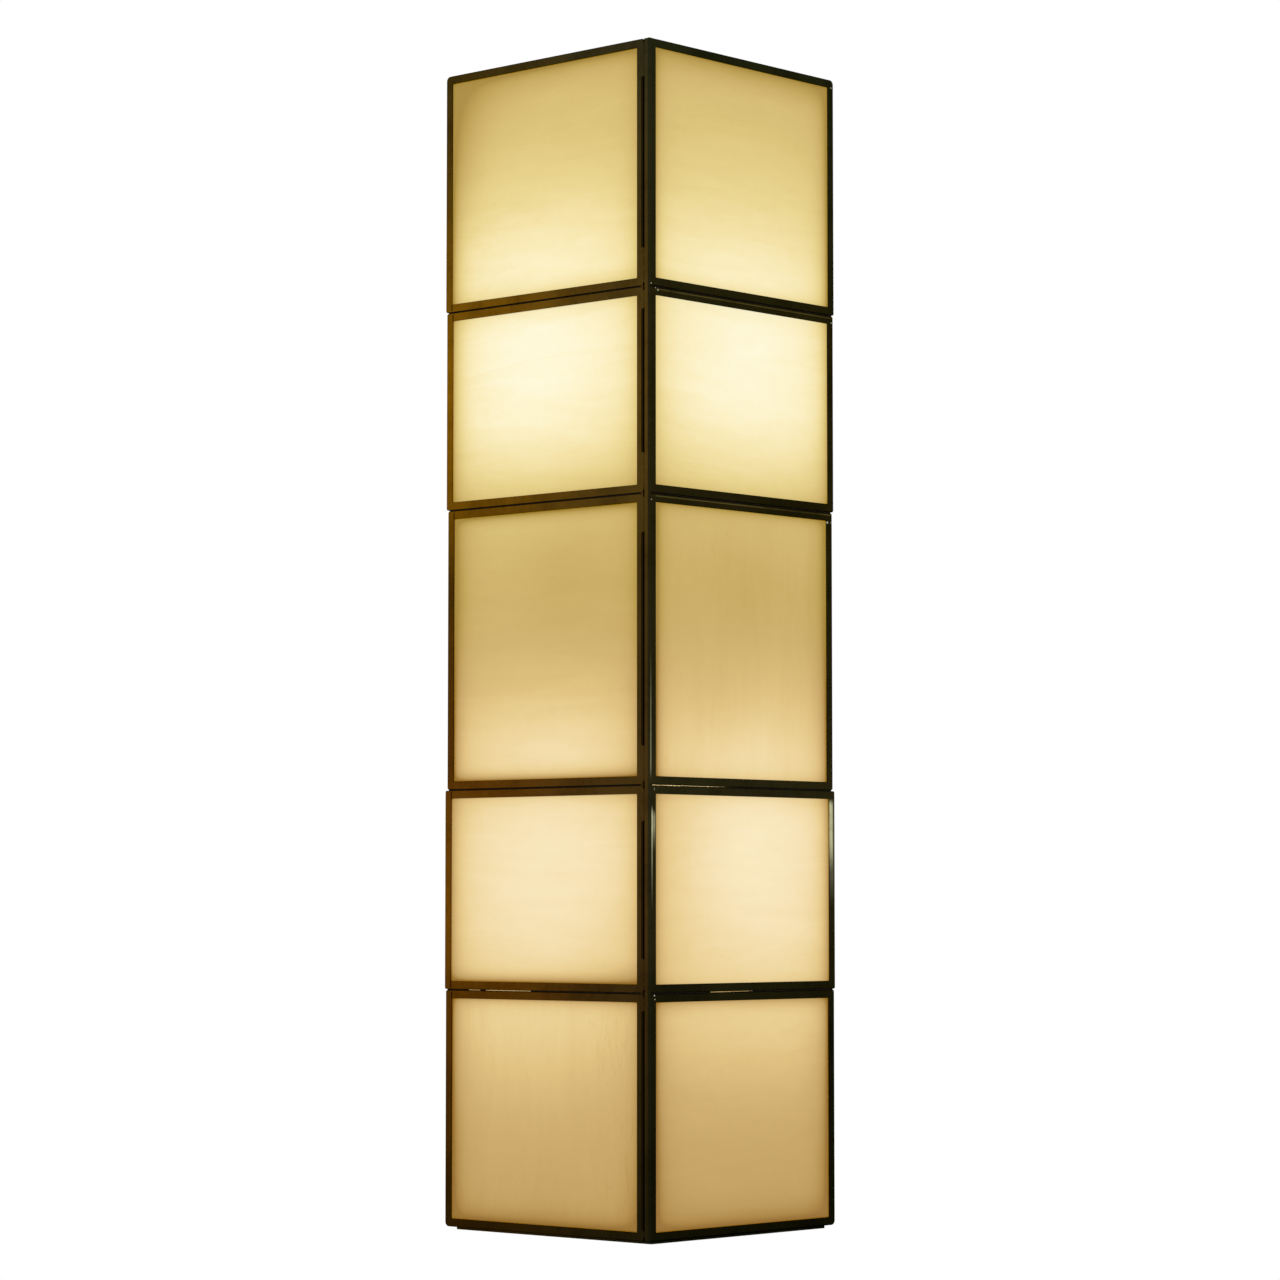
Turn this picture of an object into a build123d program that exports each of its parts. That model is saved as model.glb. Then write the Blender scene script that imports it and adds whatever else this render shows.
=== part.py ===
from build123d import *
from math import acos, degrees, sin, sqrt
import os

# Tall corner-fronted wall lamp. Ten small metal frames, five tiers on each of two faces,
# hold opal glass panes. The faces meet at a right angle, with the corner edge away from the
# wall. The lantern hangs on studs on a plate that carries the four lampholders.
# The wall is the plane y = 0, the front is at -Y, and the origin lies in the middle of the
# wall plate's screw holes.

# Lantern faces and tiers, top tier first
face_width = 345.0
tier_heights = (301.0, 249.0, 349.0, 247.0, 292.0)
tier_overhangs = (2.0, 0.0, -3.0, 0.5, -1.5)
tier_gap = 1.2
strip_width = 9.0
strip_thickness = 2.0
strip_arris = 1.4
corner_slot = 1.8

# Frame bar: an angle section, face flange in front and depth flange behind
bar_width = 10.0
bar_wall = 2.0
frame_depth = 9.0
frame_corner = 2.4
end_corner = 6.0
opening_corner = 1.2
frame_arris = 1.2
opening_arris = 0.5
butt_gap = 1.6
butt_depth = 1.3
butt_length = 8.2
open_butts = (("bottom",), ("top",), ("top",), ("top", "bottom"), ("top",))

# Glass panes and the tabs that hold them
glass_thickness = 3.0
glass_play = 1.0
glass_corner = 1.5
clip_thickness = 0.8
clip_height = 9.0
clip_reach = 7.0
clip_inset = 60.0

# Braze beads between the frames
rail_bead_length = 16.0
rail_bead_depth = 5.0
rail_bead_inset = 70.0
slot_beads_above = (42.0, 22.0, 42.0, 38.0, 16.0)
slot_beads_below = (42.0, 44.0, 42.0, 36.0, 8.0)
slot_bead_inset = 4.0
slot_bead_depth = 6.5
slot_bead_set_back = 0.6

# Plates and uprights of the lantern
bottom_thickness = 2.6
bottom_proud = 3.0
bottom_corner = 2.0
plate_crop = 11.0
top_thickness = bar_wall
upright_thickness = 1.5
upright_face_leg = 20.0
upright_wall_leg = 25.0
upright_bend = 2.2
vent_length = 56.0
vent_width = 6.0
vent_pitch = 18.0
vent_rows = 3

# Wall plate
wall_plate_thickness = 1.5
wall_plate_edge = 7.0
wall_plate_top_drop = 14.0
wall_plate_bottom_rise = 8.0
wall_plate_corner = 8.0
hang_gap = 0.5
fixing_spacing_x = 180.0
fixing_spacing_z = 1120.0
fixing_hole = 6.0

# Hanging studs and keyholes
stud_shank = 5.0
stud_head = 9.6
stud_head_height = 2.0
stud_spacing_z = 600.0
stud_from_tip = 13.5
stud_play = 0.3
keyhole_play = 0.7
lift_travel = 13.0

# Locking screw and its lip
lip_width = 44.0
lip_depth = 26.0
lip_gap = 0.5
lip_bend = 2.5
lock_thread = 4.0
lock_play = 0.3
lock_from_wall = 14.0
lock_head = 15.0
lock_head_height = 9.0
lock_knurls = 16
lock_knurl_radius = 0.9
lock_nut_diameter = 8.0
lock_nut_height = 4.0
lock_tip = 1.0

# Lampholder shelves
shelf_thickness = 1.5
shelf_flange = 30.0
shelf_lip = 8.0
shelf_margin = 28.0
shelf_bend = 2.0
shelf_window_margin = 34.0
shelf_screw_spacing = 180.0

# Bulbs and lampholders
bulb_half_spacing = 104.0
bulb_to_face = 48.0
bulb_above_tier_middle = 36.0
bulb_diameter = 60.0
bulb_height = 105.0
bulb_neck = 27.0
bulb_shoulder = 30.0
cap_diameter = 26.4
cap_height = 24.0
cap_contact = 9.0
cap_contact_height = 3.0
thread_play = 0.3
shell_wall = 0.8
shell_height = 24.0
shell_floor = 1.5
shell_seat = 0.3
shell_fit = 0.1
holder_floor = 16.0
holder_wall = 5.0
holder_base = 38.0
holder_base_height = 12.0
holder_slope = 4.0
holder_rim = 2.0
holder_edge = 2.0
nipple_diameter = 10.0
nipple_length = 9.0
nipple_play = 0.4
nipple_nut = 15.0
nipple_nut_height = 4.0
nut_play = 0.1

# Wiring
lead_diameter = 4.0
lead_bend = 20.0
lead_play = 0.3
lead_exit_height = 6.0
lead_fall = 106.0
lead_turn_in = 48.0
lead_straight = 20.0
lead_inside = 6.0
lead_lane = 26.0
block_width = 32.0
block_height = 24.0
block_depth = 15.0
block_corner = 2.0
block_poles = 3
block_pole_spacing = 9.0
pole_bore = 5.0
pole_screw = 4.2
pole_screw_sunk = 3.0
pole_screw_height = 2.0
saddle_thickness = 0.8
saddle_width = 8.0
saddle_foot = 7.0
grommet_drop = 80.0
grommet_bore = 10.0
grommet_hole = 16.0
grommet_flange = 22.0
grommet_lip = 1.6
grommet_play = 0.1
earth_x = 60.0
earth_z = -40.0
screw_shank = 4.0
screw_play = 0.2
screw_head = 8.0
screw_head_height = 2.6
screw_slot = 1.2
screw_slot_depth = 1.2

# Worked out from the sizes above
diagonal = sqrt(2)
lantern_height = bottom_thickness + sum(tier_heights) + tier_gap * (len(tier_heights) - 1)
lantern_top = lantern_height / 2
lantern_bottom = -lantern_height / 2
upright_back = wall_plate_thickness + hang_gap
widest_face = face_width + max(tier_overhangs)
corner_depth = (widest_face + frame_depth) / diagonal + upright_back
upright_tip = (widest_face - frame_depth) / diagonal
plate_half_width = upright_tip - plate_crop
left_start = strip_width + corner_slot
glass_front = bar_wall
glass_back = glass_front + glass_thickness
tiers = range(1, len(tier_heights) + 1)
bulb_tiers = tiers[1::2]
bulb_from_wall = corner_depth - bulb_half_spacing - bulb_to_face * diagonal
bulb_y = -bulb_from_wall
wall_front = -wall_plate_thickness

# The faces seen square on, with local x to the right and local y up
right_face = Plane(origin=(0, -corner_depth, 0), x_dir=(1, 1, 0), z_dir=(1, -1, 0))
left_face = Plane(origin=(0, -corner_depth, 0), x_dir=(1, -1, 0), z_dir=(-1, -1, 0))


def tier_base(tier):
    """Height of the underside of a tier's frames, tier 1 at the top."""
    above = tier_heights[:tier]
    return lantern_top - sum(above) - tier_gap * (tier - 1)


def corner_plan(height):
    """Level plane with x along the right face and y along the left face, from the corner."""
    return Plane(origin=(0, -corner_depth, height), x_dir=(1, 1, 0), z_dir=(0, 0, 1))


def save(part, label):
    """Label a finished piece and write it as its own file."""
    part.label = label
    export_step(part, os.path.join("parts", label + ".step"))


os.makedirs("parts", exist_ok=True)

# Corner strip: one flat bar up the whole corner, level with the left face, that ties the
# right frames together.
with BuildPart() as corner_strip:
    with BuildSketch(corner_plan(lantern_bottom + bottom_thickness)):
        Rectangle(strip_thickness, strip_width, align=(Align.MIN, Align.MIN))
    extrude(amount=lantern_height - bottom_thickness)
    front = corner_strip.faces().sort_by(Axis(left_face.origin, left_face.z_dir))[-1]
    fillet(front.edges(), strip_arris)
save(corner_strip.part, "corner_strip")


# Frames: angle bar brazed into a rectangle with small corners and a softened rim. One corner
# of an end tier's frame is rounder. The right frames butt against the back of the strip.
def make_frame(face, start, end, base, height, round_corner, round_radius, butts):
    middle = ((start + end) / 2, base + height / 2)
    width = end - start
    with BuildPart() as frame:
        with BuildSketch(face) as outline:
            with Locations(middle):
                Rectangle(width, height)
            fillet(outline.vertices().sort_by_distance(round_corner)[1:], frame_corner)
            fillet(outline.vertices().sort_by_distance(round_corner)[0], round_radius)
        extrude(amount=-frame_depth)
        with BuildSketch(face):
            with Locations(middle):
                RectangleRounded(
                    width - 2 * bar_width, height - 2 * bar_width, opening_corner
                )
        extrude(amount=-frame_depth, mode=Mode.SUBTRACT)
        with BuildSketch(face.offset(-bar_wall)):
            add(outline.sketch_local)
            offset(amount=-bar_wall, mode=Mode.REPLACE)
        extrude(amount=bar_wall - frame_depth, mode=Mode.SUBTRACT)
        front = frame.faces().sort_by(Axis(face.origin, face.z_dir))[-1]
        fillet(front.outer_wire().edges(), frame_arris)
        front = frame.faces().sort_by(Axis(face.origin, face.z_dir))[-1]
        chamfer(front.inner_wires()[0].edges(), opening_arris)
        if butts:
            with BuildSketch(face):
                for end_name in butts:
                    inset = butt_length / 2 + bar_width - butt_length
                    rail = base + inset if end_name == "bottom" else base + height - inset
                    with Locations((start + bar_width + butt_gap / 2, rail)):
                        Rectangle(butt_gap, butt_length)
            extrude(amount=-butt_depth, mode=Mode.SUBTRACT)
    return frame.part


def face_end(tier):
    """Distance of a tier's outer stiles from the corner edge."""
    return face_width + tier_overhangs[tier - 1]


for tier in tiers:
    base = tier_base(tier)
    height = tier_heights[tier - 1]
    end = face_end(tier)
    butts = open_butts[tier - 1]
    high = base + height if tier == tiers[0] else base
    radius = end_corner if tier in (tiers[0], tiers[-1]) else frame_corner
    frame = make_frame(left_face, -end, -left_start, base, height, (-end, high), radius, butts)
    save(frame, f"left_frame_{tier}")
    frame = make_frame(right_face, strip_thickness, end, base, height, (end, high), radius, ())
    save(frame, f"right_frame_{tier}")


# Glass: flat opal panes that lie against the back of the face flange, with play all round.
def make_glass(face, start, end, base, height):
    edge = bar_wall + glass_play
    with BuildPart() as glass:
        with BuildSketch(face.offset(-glass_front)):
            with Locations(((start + end) / 2, base + height / 2)):
                RectangleRounded(end - start - 2 * edge, height - 2 * edge, glass_corner)
        extrude(amount=-glass_thickness)
    return glass.part


for tier in tiers:
    base = tier_base(tier)
    height = tier_heights[tier - 1]
    end = face_end(tier)
    save(make_glass(left_face, -end, -left_start, base, height), f"left_glass_{tier}")
    save(make_glass(right_face, strip_thickness, end, base, height), f"right_glass_{tier}")


# Glass clips: bent tabs soldered inside the stiles, each with a leg over the pane's back.
def clip_profile(stile, inward, swap):
    """Points of a tab's outline, as seen from above, from the stile's edge inward."""
    root = stile + inward * bar_wall
    heel = root + inward * clip_thickness
    toe = root + inward * clip_reach
    lip = glass_back + clip_thickness
    points = (
        (root, glass_back),
        (toe, glass_back),
        (toe, lip),
        (heel, lip),
        (heel, frame_depth),
        (root, frame_depth),
    )
    return [(across, along) if swap else (along, across) for along, across in points]


with BuildPart() as glass_clips:
    for tier in tiers:
        base = tier_base(tier)
        for low in (base + clip_inset, base + tier_heights[tier - 1] - clip_inset):
            with BuildSketch(corner_plan(low - clip_height / 2)):
                for start, swap in ((left_start, True), (strip_thickness, False)):
                    for stile, inward in ((start, 1), (face_end(tier), -1)):
                        with BuildLine():
                            Polyline(clip_profile(stile, inward, swap), close=True)
                        make_face()
            extrude(amount=clip_height)
save(glass_clips.part, "glass_clips")

# Braze beads: short runs of filler in the gaps between tiers and in the corner slot.
with BuildPart() as beads:
    for tier in tiers[1:]:
        gap_base = tier_base(tier) + tier_heights[tier - 1]
        for face, start, end in (
            (left_face, -face_width, -left_start),
            (right_face, strip_thickness, face_width),
        ):
            with BuildSketch(face.offset(-frame_arris)):
                for place in (start + rail_bead_inset, end - rail_bead_inset):
                    with Locations((place, gap_base + tier_gap / 2)):
                        Rectangle(rail_bead_length, tier_gap)
            extrude(amount=-rail_bead_depth)
    for tier in tiers:
        low = tier_base(tier) + slot_bead_inset
        above = slot_beads_above[tier - 1]
        high = tier_base(tier) + tier_heights[tier - 1] - slot_bead_inset - above
        for start, length in ((low, slot_beads_below[tier - 1]), (high, above)):
            with BuildSketch(corner_plan(start)):
                with Locations((slot_bead_set_back, strip_width)):
                    Rectangle(slot_bead_depth, corner_slot, align=(Align.MIN, Align.MIN))
            extrude(amount=length)
save(beads.part, "braze_beads")


# Vents: obround slots below and above each bulb.
def vent_slots():
    for side in (-1, 1):
        for row in range(vent_rows):
            shift = (row - (vent_rows - 1) / 2) * vent_pitch
            with Locations((side * bulb_half_spacing, bulb_y + shift)):
                SlotOverall(vent_length, vent_width)


# Bottom plate: closes the lantern below, under the frames, with its wide corners cropped.
# It is level with the left face and a little proud of the right one.
proud_apex = bottom_proud / diagonal
with BuildPart() as bottom_plate:
    with BuildSketch(Plane.XY.offset(lantern_bottom)):
        with BuildLine():
            Polyline(
                (proud_apex, -corner_depth - proud_apex),
                (plate_half_width, plate_half_width - corner_depth - 2 * proud_apex),
                (plate_half_width, -upright_back),
                (-plate_half_width, -upright_back),
                (-plate_half_width, plate_half_width - corner_depth),
                close=True,
            )
        make_face()
    extrude(amount=bottom_thickness)
    front_corners = bottom_plate.edges().filter_by(Axis.Z).group_by(Axis.Y)[:-1]
    fillet([edge for group in front_corners for edge in group], bottom_corner)
    with BuildSketch(Plane.XY.offset(lantern_bottom)):
        vent_slots()
        with Locations((0, -lock_from_wall)):
            Circle(lock_thread / 2 + lock_play)
    extrude(amount=bottom_thickness, mode=Mode.SUBTRACT)
save(bottom_plate.part, "bottom_plate")

# Top plate: let in flush between the top rails, so that it stays out of sight.
inner_corner = frame_depth * diagonal - corner_depth
with BuildPart() as top_plate:
    with BuildSketch(Plane.XY.offset(lantern_top - top_thickness)):
        with BuildLine():
            Polyline(
                (0, inner_corner),
                (plate_half_width, inner_corner + plate_half_width),
                (plate_half_width, -upright_back),
                (-plate_half_width, -upright_back),
                (-plate_half_width, inner_corner + plate_half_width),
                close=True,
            )
        make_face()
    extrude(amount=top_thickness)
    with BuildSketch(Plane.XY.offset(lantern_top - top_thickness)):
        vent_slots()
    extrude(amount=top_thickness, mode=Mode.SUBTRACT)
save(top_plate.part, "top_plate")

# Uprights: strips folded to an acute angle. One leg is brazed across the backs of the rails
# and the other lies along the wall, with a keyhole for each hanging stud.
stud_x = upright_tip - stud_from_tip
stud_heights = (-stud_spacing_z, 0.0, stud_spacing_z)
upright_bottom = lantern_bottom + bottom_thickness + end_corner
upright_height = lantern_top - end_corner - upright_bottom
with BuildPart() as left_upright:
    with BuildSketch(corner_plan(upright_bottom)):
        with BuildLine():
            FilletPolyline(
                (frame_depth, widest_face - upright_face_leg),
                (frame_depth, widest_face),
                (
                    frame_depth + upright_wall_leg / diagonal,
                    widest_face - upright_wall_leg / diagonal,
                ),
                radius=upright_bend,
            )
            offset(amount=upright_thickness, side=Side.RIGHT)
        make_face()
    extrude(amount=upright_height)
    with BuildSketch(Plane.XZ.offset(upright_back)):
        for height in stud_heights:
            with Locations((-stud_x, height - lift_travel / 2)):
                SlotCenterToCenter(lift_travel, stud_shank + 2 * stud_play, rotation=90)
            with Locations((-stud_x, height - lift_travel)):
                Circle(stud_head / 2 + keyhole_play)
    extrude(amount=upright_thickness, mode=Mode.SUBTRACT)
save(left_upright.part, "left_upright")

with BuildPart() as right_upright:
    mirror(left_upright.part, about=Plane.YZ)
save(right_upright.part, "right_upright")

# Lock nut: a round nut brazed on the bottom plate, for the locking screw.
nut_base = lantern_bottom + bottom_thickness
with BuildPart() as lock_nut:
    with BuildSketch(Plane.XY.offset(nut_base)):
        with Locations((0, -lock_from_wall)):
            Circle(lock_nut_diameter / 2)
            Circle(lock_thread / 2 + lock_play, mode=Mode.SUBTRACT)
    extrude(amount=lock_nut_height)
save(lock_nut.part, "lock_nut")

# Heights that the wall side shares
bulb_centres = [
    tier_base(tier) + tier_heights[tier - 1] / 2 + bulb_above_tier_middle for tier in bulb_tiers
]
bulb_seat = holder_floor + shell_floor + shell_seat
shelf_heights = [centre + bulb_diameter / 2 - bulb_height - bulb_seat for centre in bulb_centres]
lip_top = lantern_bottom - lip_gap
lip_bottom = lip_top - wall_plate_thickness
holes_x = fixing_spacing_x / 2
holes_z = fixing_spacing_z / 2
shelf_screw_places = [
    (side * shelf_screw_spacing / 2, shelf - shelf_flange / 2)
    for shelf in shelf_heights
    for side in (-1, 1)
]

# Wall plate: white enamelled sheet with round corners, and a lip folded forward under the
# lantern for the locking screw.
plate_top = lantern_top - wall_plate_top_drop
plate_bottom = lantern_bottom + wall_plate_bottom_rise
with BuildPart() as wall_plate:
    with BuildSketch(Plane.XZ):
        with Locations((0, (plate_top + plate_bottom) / 2)):
            RectangleRounded(
                2 * (stud_x + wall_plate_edge),
                plate_top - plate_bottom,
                wall_plate_corner,
            )
    extrude(amount=wall_plate_thickness)
    with BuildSketch(Plane.YZ.offset(-lip_width / 2)):
        with BuildLine():
            FilletPolyline(
                (0, plate_bottom + wall_plate_corner),
                (0, lip_bottom),
                (-lip_depth, lip_bottom),
                radius=lip_bend,
            )
            offset(amount=wall_plate_thickness, side=Side.RIGHT)
        make_face()
    extrude(amount=lip_width)
    with BuildSketch(Plane.XZ):
        with GridLocations(fixing_spacing_x, fixing_spacing_z, 2, 2):
            Circle(fixing_hole / 2)
        with Locations((0, -grommet_drop)):
            Circle(grommet_hole / 2)
        with Locations((earth_x, earth_z), *shelf_screw_places):
            Circle(screw_shank / 2 + screw_play)
    extrude(amount=wall_plate_thickness, mode=Mode.SUBTRACT)
    with BuildSketch(Plane.XY.offset(lip_bottom)):
        with Locations((0, -lock_from_wall)):
            Circle(lock_thread / 2 + lock_play)
    extrude(amount=wall_plate_thickness, mode=Mode.SUBTRACT)
save(wall_plate.part, "wall_plate")

# Hanging studs: headed studs riveted to the wall plate, one for each keyhole.
stud_gap = hang_gap + upright_thickness + hang_gap
with BuildPart() as hanging_studs:
    for side in (-1, 1):
        for height in stud_heights:
            with BuildSketch(Plane.XZ.offset(wall_plate_thickness)):
                with Locations((side * stud_x, height)):
                    Circle(stud_shank / 2)
            extrude(amount=stud_gap)
            with BuildSketch(Plane.XZ.offset(wall_plate_thickness + stud_gap)):
                with Locations((side * stud_x, height)):
                    Circle(stud_head / 2)
            extrude(amount=stud_head_height)
save(hanging_studs.part, "hanging_studs")

# Locking screw: a knurled head below the lip, with its thread up through lip and nut.
head_top = lip_bottom - lock_play
with BuildPart() as lock_screw:
    with BuildSketch(Plane.XY.offset(head_top - lock_head_height)):
        with Locations((0, -lock_from_wall)):
            Circle(lock_head / 2)
            with PolarLocations(lock_head / 2, lock_knurls):
                Circle(lock_knurl_radius, mode=Mode.SUBTRACT)
    extrude(amount=lock_head_height)
    with BuildSketch(Plane.XY.offset(head_top)):
        with Locations((0, -lock_from_wall)):
            Circle(lock_thread / 2)
    extrude(amount=nut_base + lock_nut_height + lock_tip - head_top)
save(lock_screw.part, "lock_screw")


# Lampholder shelves: folded sheet, with a window between the two lampholders.
def make_shelf(height):
    with BuildPart() as shelf:
        with BuildSketch(Plane.YZ.offset(-bulb_half_spacing - shelf_margin)):
            with BuildLine():
                FilletPolyline(
                    (wall_front, height - shelf_flange),
                    (wall_front, height),
                    (bulb_y - shelf_margin, height),
                    (bulb_y - shelf_margin, height - shelf_lip),
                    radius=shelf_bend,
                )
                offset(amount=shelf_thickness, side=Side.LEFT)
            make_face()
        extrude(amount=2 * (bulb_half_spacing + shelf_margin))
        with BuildSketch(Plane.XY.offset(height - shelf_thickness)):
            with Locations((0, (bulb_y + wall_front) / 2)):
                Rectangle(
                    2 * (bulb_half_spacing - shelf_window_margin),
                    bulb_from_wall,
                )
            with Locations((-bulb_half_spacing, bulb_y), (bulb_half_spacing, bulb_y)):
                Circle(nipple_diameter / 2 + nipple_play)
        extrude(amount=shelf_thickness, mode=Mode.SUBTRACT)
        with BuildSketch(Plane.XZ.offset(wall_plate_thickness)):
            for side in (-1, 1):
                with Locations((side * shelf_screw_spacing / 2, height - shelf_flange / 2)):
                    Circle(screw_shank / 2 + screw_play)
        extrude(amount=shelf_thickness, mode=Mode.SUBTRACT)
    return shelf.part


save(make_shelf(shelf_heights[0]), "upper_shelf")
save(make_shelf(shelf_heights[1]), "lower_shelf")


def upright_plane(side, height):
    """Vertical plane through a lampholder's axis, with local y up."""
    return Plane(origin=(side * bulb_half_spacing, bulb_y, height), z_dir=(0, -1, 0), x_dir=(1, 0, 0))


# Lampholders: porcelain cups with a threaded spigot through the shelf.
shell_outer = cap_diameter / 2 + thread_play + shell_wall
cup_inner = shell_outer + shell_fit
cup_outer = cup_inner + holder_wall
cup_top = holder_floor + shell_height + holder_rim


def make_holder(plane, axis):
    with BuildPart() as holder:
        with BuildSketch(plane):
            with BuildLine():
                Polyline(
                    (0, -nipple_length),
                    (nipple_diameter / 2, -nipple_length),
                    (nipple_diameter / 2, 0),
                    (holder_base / 2, 0),
                    (holder_base / 2, holder_base_height),
                    (cup_outer, holder_base_height + holder_slope),
                    (cup_outer, cup_top - holder_edge),
                    (cup_outer - holder_edge, cup_top),
                    (cup_inner, cup_top),
                    (cup_inner, holder_floor),
                    (0, holder_floor),
                    close=True,
                )
            make_face()
        revolve(axis=axis)
    return holder.part


def make_shell(plane, axis):
    with BuildPart() as shell:
        with BuildSketch(plane):
            with BuildLine():
                Polyline(
                    (0, holder_floor),
                    (shell_outer, holder_floor),
                    (shell_outer, holder_floor + shell_height),
                    (shell_outer - shell_wall, holder_floor + shell_height),
                    (shell_outer - shell_wall, holder_floor + shell_floor),
                    (0, holder_floor + shell_floor),
                    close=True,
                )
            make_face()
        revolve(axis=axis)
    return shell.part


def make_cap(plane, axis):
    seat = bulb_seat + cap_contact_height
    with BuildPart() as cap:
        with BuildSketch(plane):
            with BuildLine():
                Polyline(
                    (0, bulb_seat),
                    (cap_contact / 2, bulb_seat),
                    (cap_diameter / 2, seat),
                    (cap_diameter / 2, seat + cap_height),
                    (0, seat + cap_height),
                    close=True,
                )
            make_face()
        revolve(axis=axis)
    return cap.part


def make_globe(plane, axis):
    foot = bulb_seat + cap_contact_height + cap_height
    radius = bulb_diameter / 2
    centre = bulb_seat + bulb_height - radius
    turn = acos((bulb_neck / 2 + bulb_shoulder) / (radius + bulb_shoulder))
    neck_top = centre - (radius + bulb_shoulder) * sin(turn)
    with BuildPart() as globe:
        with BuildSketch(plane):
            with BuildLine():
                Polyline(
                    (0, centre + radius),
                    (0, foot),
                    (bulb_neck / 2, foot),
                    (bulb_neck / 2, neck_top),
                )
                shoulder = JernArc(
                    (bulb_neck / 2, neck_top), (0, 1), bulb_shoulder, -degrees(turn)
                )
                ThreePointArc(shoulder @ 1, (radius, centre), (0, centre + radius))
            make_face()
        revolve(axis=axis)
    return globe.part


number = 0
for shelf in shelf_heights:
    for side in (-1, 1):
        number += 1
        plane = upright_plane(side, shelf)
        axis = Axis(plane.origin, (0, 0, 1))
        save(make_holder(plane, axis), f"lampholder_{number}")
        save(make_shell(plane, axis), f"holder_shell_{number}")
        save(make_cap(plane, axis), f"bulb_cap_{number}")
        save(make_globe(plane, axis), f"bulb_globe_{number}")

# Lampholder nuts: hexagon nuts on the spigots, under the shelves.
with BuildPart() as holder_nuts:
    for shelf in shelf_heights:
        with BuildSketch(Plane.XY.offset(shelf - shelf_thickness)):
            with Locations((-bulb_half_spacing, bulb_y), (bulb_half_spacing, bulb_y)):
                RegularPolygon(nipple_nut / 2, 6, major_radius=False)
                Circle(nipple_diameter / 2 + nut_play, mode=Mode.SUBTRACT)
        extrude(amount=-nipple_nut_height)
save(holder_nuts.part, "holder_nuts")

# Terminal block: three poles, each bored through for the wires, with screws from the front.
poles = [(pole - (block_poles - 1) / 2) * block_pole_spacing for pole in range(block_poles)]
block_middle = wall_front - block_depth / 2
screw_rows = (-block_height / 2 + pole_screw, block_height / 2 - pole_screw)
with BuildPart() as terminal_block:
    with BuildSketch(Plane.XZ.offset(wall_plate_thickness)):
        RectangleRounded(block_width, block_height, block_corner)
    extrude(amount=block_depth)
    with BuildSketch(Plane.XY.offset(-block_height / 2)):
        with Locations(*[(pole, block_middle) for pole in poles]):
            Circle(pole_bore / 2)
    extrude(amount=block_height, mode=Mode.SUBTRACT)
    with BuildSketch(Plane.XZ.offset(wall_plate_thickness + block_depth)):
        with Locations(*[(pole, row) for pole in poles for row in screw_rows]):
            Circle(pole_screw / 2 + screw_play)
    extrude(amount=-pole_screw_sunk, mode=Mode.SUBTRACT)
save(terminal_block.part, "terminal_block")

with BuildPart() as terminal_screws:
    with BuildSketch(Plane.XZ.offset(wall_plate_thickness + block_depth - pole_screw_sunk)):
        with Locations(*[(pole, row) for pole in poles for row in screw_rows]):
            Circle(pole_screw / 2)
    extrude(amount=pole_screw_height)
save(terminal_screws.part, "terminal_screws")


# Slotted heads, each on a shank that stops flush with the back of the wall plate.
def slotted_screws(places, seat_depth):
    with BuildPart() as screws:
        with BuildSketch(Plane.XZ):
            with Locations(*places):
                Circle(screw_shank / 2)
        extrude(amount=seat_depth)
        with BuildSketch(Plane.XZ.offset(seat_depth)):
            with Locations(*places):
                Circle(screw_head / 2)
        extrude(amount=screw_head_height)
        with BuildSketch(Plane.XZ.offset(seat_depth + screw_head_height)):
            with Locations(*places):
                Rectangle(screw_head, screw_slot)
        extrude(amount=-screw_slot_depth, mode=Mode.SUBTRACT)
    return screws.part


# Plate screws: four hold the shelves, and a fifth like them is the earth screw.
with BuildPart() as plate_screws:
    add(slotted_screws(shelf_screw_places, wall_plate_thickness + shelf_thickness))
    add(slotted_screws([(earth_x, earth_z)], wall_plate_thickness))
save(plate_screws.part, "plate_screws")

# Cable grommet: a rubber bush in the wall plate, where the house wiring comes in.
with BuildPart() as cable_grommet:
    with BuildSketch(Plane.XZ):
        with Locations((0, -grommet_drop)):
            Circle(grommet_hole / 2 - grommet_play)
    extrude(amount=wall_plate_thickness)
    with BuildSketch(Plane.XZ.offset(wall_plate_thickness)):
        with Locations((0, -grommet_drop)):
            Circle(grommet_flange / 2)
    extrude(amount=grommet_lip)
    with BuildSketch(Plane.XZ):
        with Locations((0, -grommet_drop)):
            Circle(grommet_bore / 2)
    extrude(amount=wall_plate_thickness + grommet_lip, mode=Mode.SUBTRACT)
save(cable_grommet.part, "cable_grommet")

# Leads: sleeved pairs from the side of each lampholder, back to the wall plate and along it
# to the terminal block.
lead_y = wall_front - lead_diameter / 2 - lead_play
lead_poles = (poles[0], poles[-1])
number = 0
for shelf, way in zip(shelf_heights, (-1, 1)):
    start = shelf + lead_exit_height
    finish = -way * block_height / 2
    for side, pole in zip((-1, 1), lead_poles):
        number += 1
        with BuildPart() as lead:
            with BuildLine():
                FilletPolyline(
                    (side * (bulb_half_spacing - holder_base / 2), bulb_y, start),
                    (side * lead_lane, bulb_y, start),
                    (side * lead_lane, lead_y, start + way * lead_fall),
                    (side * lead_lane, lead_y, finish - way * lead_turn_in),
                    (pole, block_middle, finish - way * lead_straight),
                    (pole, block_middle, finish + way * lead_inside),
                    radius=lead_bend,
                )
            with BuildSketch(
                Plane(
                    origin=(side * (bulb_half_spacing - holder_base / 2), bulb_y, start),
                    z_dir=(-side, 0, 0),
                )
            ):
                Circle(lead_diameter / 2)
            sweep()
        save(lead.part, f"lead_{number}")

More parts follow.
